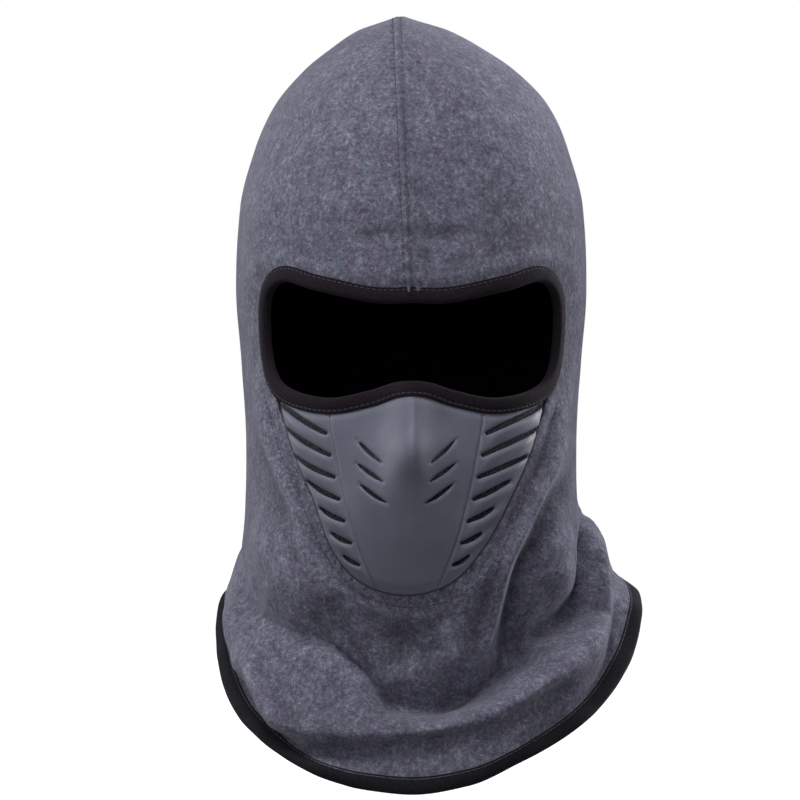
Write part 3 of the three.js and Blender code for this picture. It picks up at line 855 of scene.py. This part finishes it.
MASK_STEP = 0.75
MASK_TUCK = 5  # how far the mask's rim reaches under the fleece
WING_TOP = -50.4
WING_PITCH = 11.3
WING_SLOPE = 28
WING_SLOT_WIDTH = 3.0
WING_FROM_GROOVE = 3
WING_ENDS = [
    (68, -36.4), (65.5, -48.4), (60.5, -62.5), (53, -75), (45, -89), (38.7, -101.9), (32.5, -113.6),
]
CENTRE_SLOT_WIDTH = 2.3
CENTRE_SLOTS = [
    ((14.2, -65.7), (19.4, -60.8), (25.6, -53.6)),
    ((12.7, -75.7), (18.6, -71.8), (26.0, -65.7)),
    ((10.0, -86.4), (16.6, -82.6), (24.7, -76.3)),
]

groove_x = keyed([(z, x) for x, z in GROOVE])


def slot_distance(x, z, points, width, pointed):
    """Distance outside a slot along a curve, whose width narrows towards its ends by pointed."""
    distance, share = to_line(x, z, smooth_line(points, 12))
    narrowing = 1 - pointed * np.abs(2 * share - 1) ** 2.2
    return np.abs(distance) - width / 2 * narrowing


def mask_side(x):
    """Distance from the mask's own middle line, which leans from the eye opening's."""
    return np.abs(x - MASK_LEAN * (1 - smoothstep(np.abs(x), 44, 70)))


def mask_slots(x, z):
    """Distance outside the nearest wing slot and centre slot, both sides."""
    aside = mask_side(x)
    wing = np.full(x.shape, 1e3)
    for k, outer in enumerate(WING_ENDS):
        inner_z = WING_TOP - WING_PITCH * k
        inner = (groove_x(inner_z) + WING_FROM_GROOVE, inner_z)
        bow = ((inner[0] + outer[0]) / 2, (inner[1] + outer[1]) / 2 - 0.5)
        width = WING_SLOT_WIDTH - 0.08 * k
        wing = np.minimum(wing, slot_distance(aside, z, [inner, bow, outer], width, 0.3))
    centre = np.full(x.shape, 1e3)
    for points in CENTRE_SLOTS:
        centre = np.minimum(centre, slot_distance(aside, z, points, CENTRE_SLOT_WIDTH, 0.8))
    return wing, centre


def mask_relief(x, z):
    """How far the mask's face stands out from the skin."""
    from_edge = -outside(x, z, MASK_LINE)
    aside = mask_side(x)
    height = -2.5 + 1.6 * smoothstep(from_edge, 0.1, 1.3) + 0.9 * smoothstep(from_edge, 1.5, 7)
    off_groove = (aside - groove_x(z)) * 0.95
    in_groove = smoothstep(from_edge, 0.5, 2)
    height += in_groove * -1.0 * hump(off_groove, 0.6)
    wing, centre = mask_slots(x, z)
    height -= 0.55 * hump(np.maximum(wing, 0), 0.8) + 0.5 * hump(np.maximum(centre, 0), 0.8)
    # The bars between the wing slots are rounded, most of all near the mask's edge.
    level = z - (aside - groove_x(z)) * math.tan(math.radians(WING_SLOPE))
    phase = (level - WING_TOP) / WING_PITCH
    from_eye = outside(x, z, EYE_LINE)
    on_wing = smoothstep(off_groove, 2, 7) * smoothstep(from_edge, 0.5, 5) * smoothstep(z, -124, -112)
    on_wing *= smoothstep(from_eye, 8, 14)
    height += on_wing * 0.9 * (0.5 - 0.5 * np.cos(2 * math.pi * phase))
    height -= 1.3 * (1 - smoothstep(from_eye, 5, 11))
    height = np.maximum(height, -3)
    # The nose: a faint mould line down its bridge, and a hollow under each side of the tip.
    height -= 0.3 * hump(x, 0.45) * smoothstep(z, -56, -50) * smoothstep(-z, 30, 36)
    height -= 2 * hump(aside - 15, 8) * hump(z + 66, 12)
    return height


def front_sheet(name, x, z, height, keep, thickness, material, slot):
    """A closed sheet that stands some height out from the skin's front, where keep is positive."""
    place, normal = front_frame(x, z)
    points = place + normal * height[..., None]
    triangles = grid_triangles(*x.shape, False)
    points, triangles = trimmed(points.reshape(-1, 3), triangles, keep.ravel())
    points, triangles, normals = used_only(points, triangles, normal.reshape(-1, 3))
    faces = closed_layer(points, points - normals * thickness, triangles)
    return mesh_object(name, *faces, material, slot)


def mask_shell():
    half = MASK_HIGH[0] + 3
    across = np.arange(-half, half + MASK_STEP, MASK_STEP)
    down = np.arange(MASK_HIGH[2] + 2, MASK_LOW[2] - 3, -MASK_STEP)
    x, z = np.meshgrid(across, down)
    wing, centre = mask_slots(x, z)
    from_eye = outside(x, z, EYE_LINE)
    tucked = MASK_TUCK * smoothstep(from_eye, 3, 11)
    keep = np.minimum.reduce([tucked - outside(x, z, MASK_LINE), from_eye, wing, centre])
    height = mask_relief(x, z)
    obj = front_sheet("face_mask_moulded", x, z, height, keep, MASK_THICKNESS, MASK, "mask")
    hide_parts("face_mask")


def mask_backing():
    half = MASK_HIGH[0] - 1
    across = np.linspace(-half, half, 90)
    down = np.linspace(MASK_HIGH[2], MASK_LOW[2], 80)
    x, z = np.meshgrid(across, down)
    height = -BACKING_DEPTH + 1.6 * (1 - smoothstep(-z, 62, 88))
    keep = np.minimum(MASK_TUCK - 1 - outside(x, z, MASK_LINE), outside(x, z, EYE_LINE))
    obj = front_sheet(
        "mask_backing_mesh", x, z, height, keep, BACKING_THICKNESS, BACKING, "mask_backing"
    )
    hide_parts("mask_backing")


mask_shell()
mask_backing()

# ---- Bindings ----

# The folded tape's section round the cloth's edge: (past the edge, above the cloth's outer face).
TAPE_OUTSIDE = [
    (-6.2, -0.9), (-6.1, -0.1), (-5.4, 0.15), (-4.7, -0.1), (-4.1, 0.3), (-2.8, 0.7), (-1.2, 0.85),
    (0.2, 0.7), (1.1, 0.1), (1.6, -1.0), (1.5, -2.6), (0.7, -3.8), (-1, -4.4), (-4.5, -4.5),
    (-6.0, -4.4),
]
TAPE_INSIDE = [
    (-6.1, -3.8), (-0.5, -3.8), (0.3, -3.0), (0.5, -1.8), (0.3, -0.8), (-0.6, -0.3), (-5.9, -1.1),
]
TAPE_STITCH_ACROSS = -4.75
EYE_TAPE_SCALE = 1.12
HEM_TAPE_SCALE = 1.35
HEM_TAPE_ROWS = 60  # rows of the cloth's end that the hem's tape may cover


def tape_object(name, rings, material, slot):
    """A tape through section rings, with UVs along and across it, and its length in metres."""
    points, faces = swept(rings)
    obj = mesh_object(name, points, faces, material, slot)
    middle = rings.mean(axis=1)
    steps = np.linalg.norm(np.diff(middle, axis=0, prepend=middle[-1:]), axis=1)
    stations = np.cumsum(steps) * MM
    steps = np.linalg.norm(np.diff(rings[0], axis=0, prepend=rings[0][-1:]), axis=1)
    around = np.cumsum(steps) * MM
    layer = obj.data.uv_layers.new(name="tape")
    loops = np.empty(len(obj.data.loops), np.int32)
    obj.data.loops.foreach_get("vertex_index", loops)
    station, corner = loops // rings.shape[1], loops % rings.shape[1]
    layer.data.foreach_set("uv", np.stack([stations[station], around[corner]], -1).ravel())
    return obj, float(stations[-1])


def eye_tape_ring(section):
    """Section points carried round the eye opening, following the cloth: [station, point, 3]."""
    place, normal = front_frame(EYE_LINE[:, 0], EYE_LINE[:, 1])
    along = unit(np.roll(place, -1, axis=0) - np.roll(place, 1, axis=0))
    past = unit(np.cross(along, normal))
    to_middle = np.array([0, -90, -3]) - place
    past *= np.sign(np.sum(past * to_middle, axis=1, keepdims=True))
    rings = []
    for across, above in section:
        reached = place + past * across
        there, normal = front_frame(reached[:, 0], reached[:, 2])
        rings.append(there + normal * above)
    return np.stack(rings, axis=1)


def hem_tape_ring(section):
    """Section points carried round the hem, measured up the cloth along its columns."""
    tail = np.concatenate([cloth, cloth_normals], axis=-1)[-HEM_TAPE_ROWS:][::-1]
    edge = tail[..., :3]
    length = np.cumsum(np.linalg.norm(np.diff(edge, axis=0, prepend=edge[:1]), axis=2), axis=0)
    down = unit(edge[0] - edge[6])
    rings = []
    for across, above in section:
        up = max(-across, 0)
        there = np.array([
            [np.interp(up, length[:, c], tail[:, c, k]) for k in range(6)] for c in range(COLUMNS)
        ])
        rings.append(there[:, :3] + down * max(across, 0) + unit(there[:, 3:]) * above)
    return np.stack(rings, axis=1)


def rounded_section(scale):
    """The tape's section, smoothed, with its width scaled."""
    points = smooth_line(TAPE_OUTSIDE, 30).tolist() + TAPE_INSIDE
    return [(across * scale if across < 0 else across, above) for across, above in points]


eye_rings = eye_tape_ring(rounded_section(EYE_TAPE_SCALE))
eye_tape, eye_length = tape_object("eye_binding_tape", eye_rings, EYE_TAPE, "eye_binding")
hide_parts("eye_binding")
hem_rings = hem_tape_ring(rounded_section(HEM_TAPE_SCALE))
hem_tape, hem_length = tape_object("hem_binding_tape", hem_rings, HEM_TAPE, "hem_binding")
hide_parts("hem_binding")

# ---- Stitches ----

STITCH_PITCH = 3.1
STITCH_LENGTH = 2.5
STITCH_ARCH = 0.35
THREAD_RADIUS = 0.3
TOPSTITCH_ASIDE = -4.1
MASK_SEAM_OFFSET = 5
MASK_SEAM_TOP = -33
APEX_TURN = 93  # where the tip of the crown lies, in degrees over the head


def stitch_row(name, places, normals, node, closed, lift=0.1):
    """A row of stitches over the cloth, each one a short thread that dips into it at both ends."""
    if closed:
        places, normals = np.vstack([places, places[:1]]), np.vstack([normals, normals[:1]])
    length = np.r_[0, np.cumsum(np.linalg.norm(np.diff(places, axis=0), axis=1))]

    def at(distance):
        place = np.array([np.interp(distance, length, places[:, k]) for k in range(3)])
        normal = np.array([np.interp(distance, length, normals[:, k]) for k in range(3)])
        return place, unit(normal)

    corners = np.linspace(0, 2 * math.pi, 6, endpoint=False)
    points, faces = [], []
    for start in np.arange(0.4, length[-1] - STITCH_LENGTH, STITCH_PITCH):
        rings = []
        for share in np.linspace(0, 1, 6):
            place, normal = at(start + share * STITCH_LENGTH)
            onward, _ = at(start + share * STITCH_LENGTH + 0.2)
            along = unit(onward - place)
            aside = unit(np.cross(along, normal))
            arch = lift + STITCH_ARCH * math.sin(math.pi * share) - THREAD_RADIUS
            radius = THREAD_RADIUS * (0.6 + 0.4 * math.sin(math.pi * share))
            middle = place + normal * arch
            rings.append([
                middle + radius * (math.cos(a) * aside + math.sin(a) * normal) for a in corners
            ])
        ring_points, ring_faces = swept(np.array(rings), closed_way=False)
        faces += [tuple(i + len(points) for i in face) for face in ring_faces]
        points += ring_points.tolist()
    obj = mesh_object(name, points, faces, THREAD, "thread")
    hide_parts(node)


def traced(rays):
    """Points and normals where rays meet the fleece, without those that miss."""
    found = [hit for hit in (on_cloth(start, way) for start, way in rays) if hit is not None]
    normals = np.array([normal for _, normal in found])
    calm = sum(np.roll(normals, k, axis=0) for k in (-2, -1, 0, 1, 2))
    return np.array([place for place, _ in found]), unit(calm)


def crown_rays(aside):
    """Rays beside the centre seam, from the forehead over the crown to the hem behind."""
    rays = []
    for turn in np.linspace(2, 236, 300):
        radians = math.radians(turn)
        way = np.array([0, math.cos(radians), -math.sin(radians)])
        start = np.array([0.0, 0.0, 22.0]) - way * 330
        hit = on_cloth(start, way)
        if hit is None or abs(turn - APEX_TURN) < 2.4:
            continue
        z = hit[0][2]
        x = seam_x(z) if turn < 85 else CROWN_LEAN[0][1] * smoothstep(z, 60, CROWN_Z)
        rays.append((start + (float(x) + aside, 0, 0), way))
    return rays


crown_topstitch = traced(crown_rays(TOPSTITCH_ASIDE))
stitch_row("crown_topstitch", *crown_topstitch, "crown_topstitch_thread", False)
stitch_row("crown_seam_stitches", *traced(crown_rays(0)), "crown_seam_thread", False, -0.1)
seam_row = smooth_line(mirrored(MASK_EDGE), 400, closed=True)
way = unit(np.roll(seam_row, -1, axis=0) - np.roll(seam_row, 1, axis=0))
seam_row = seam_row + np.stack([-way[:, 1], way[:, 0]], -1) * MASK_SEAM_OFFSET
seam_row = seam_row[seam_row[:, 1] < MASK_SEAM_TOP]
mask_seam = traced([((x, -300, z), (0, 1, 0)) for x, z in seam_row])
stitch_row("mask_edge_stitches", *mask_seam, "mask_edge_thread", False)
for name, tape_ring, scale in (
    ("eye_binding", eye_tape_ring, EYE_TAPE_SCALE),
    ("hem_binding", hem_tape_ring, HEM_TAPE_SCALE),
):
    row = tape_ring([(scale * TAPE_STITCH_ACROSS, 0.0), (scale * TAPE_STITCH_ACROSS, 1.0)])
    stitch_row(name + "_stitches", row[:, 0], row[:, 1] - row[:, 0], name + "_thread", True)

# ---- Care label ----


def care_label():
    """A small blank tape that hangs inside the nape, a little curved."""
    low, high = node_box("care_label")
    across = np.linspace(low[0], high[0], 25)
    down = np.linspace(high[2], low[2], 17)
    x, z = np.meshgrid(across, down)
    share = (high[2] - z) / (high[2] - low[2])
    y = low[1] - 1.2 * np.sin(share * math.pi / 2) * (1 - 0.3 * np.cos(x / 6))
    points = np.stack([x, y, z], -1).reshape(-1, 3)
    normals = np.tile((0.0, -1.0, 0.0), (len(points), 1))
    faces = closed_layer(points, points - normals * 0.4, grid_triangles(*x.shape, False))
    obj = mesh_object("care_label_blank", *faces, LABEL, "label")
    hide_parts("care_label")


care_label()

# ---- Studio, in metres ----

STAGE_CORNERS = 48
FLOOR_RADIUS = 14
FLOOR_LEVEL = -0.2375
WALL_RADIUS = 15
WALL_HEIGHTS = (-9, 15)
LENS = 400
CAMERA_DISTANCE = 4.672
CAMERA_X = -0.0062
CAMERA_Z = -0.0333
FLOOR_COLOR = (0.4, 0.4, 0.4)
FLOOR_GLOW = 0.98
WORLD_STRENGTH = 0.15


def stage_object(name, points, faces, color, glow):
    """A plain floor or backdrop that doesn't light the object."""
    mesh = bpy.data.meshes.new(name)
    mesh.from_pydata(points, [], faces)
    obj = add_object(name, mesh)
    material, _, shader = new_material("plain_" + name, color, 1, specular=0)
    shader.inputs["Emission Color"].default_value = (*WHITE, 1)
    shader.inputs["Emission Strength"].default_value = glow
    mesh.materials.append(material)
    obj.visible_diffuse = False
    obj.visible_glossy = False
    return obj


def area_light(name, place, aim, size, power):
    light = bpy.data.lights.new(name, "AREA")
    light.shape = "RECTANGLE"
    light.size, light.size_y = size
    light.energy = power
    lamp = add_object(name, light)
    lamp.location = place
    lamp.rotation_euler = (Vector(aim) - Vector(place)).to_track_quat("-Z", "Y").to_euler()


def studio():
    """A pale floor and backdrop, with soft light from above in front and from both sides."""
    turns = np.linspace(0, 2 * math.pi, STAGE_CORNERS, endpoint=False)
    around = [(math.cos(a), math.sin(a)) for a in turns]
    floor = [(FLOOR_RADIUS * x, FLOOR_RADIUS * y, FLOOR_LEVEL) for x, y in around]
    stage_object("floor", floor, [tuple(range(STAGE_CORNERS))], FLOOR_COLOR, FLOOR_GLOW)
    wall = [(WALL_RADIUS * x, WALL_RADIUS * y, z) for z in WALL_HEIGHTS for x, y in around]
    pairs = [(i, (i + 1) % STAGE_CORNERS) for i in range(STAGE_CORNERS)]
    sides = [(i, j, j + STAGE_CORNERS, i + STAGE_CORNERS) for i, j in pairs]
    stage_object("backdrop", wall, sides, (0, 0, 0), 1).visible_shadow = False

    world = bpy.data.worlds.new("studio")
    world.use_nodes = True
    background = world.node_tree.nodes["Background"].inputs
    background["Color"].default_value = (*WHITE, 1)
    background["Strength"].default_value = WORLD_STRENGTH
    bpy.context.scene.world = world

    area_light("key", (-0.35, -0.9, 1.8), (0, 0, 0.0), (1.1, 0.8), 24)
    area_light("front", (-0.4, -2.4, 0.5), (0, 0, -0.05), (1, 1), 9)
    area_light("left", (-1.5, 0.5, 0.25), (0, 0, -0.05), (0.6, 1.3), 11)
    area_light("right", (1.3, 0.9, 0.4), (0, 0, -0.05), (0.6, 1.3), 25)


def camera():
    """Level, from the front, with a long lens."""
    data = bpy.data.cameras.new("camera")
    data.lens = LENS
    obj = add_object("camera", data)
    obj.location = (CAMERA_X, -CAMERA_DISTANCE, CAMERA_Z)
    obj.rotation_euler = (math.pi / 2, 0, 0)
    bpy.context.scene.camera = obj


studio()
camera()
bpy.context.scene.view_settings.view_transform = "Standard"
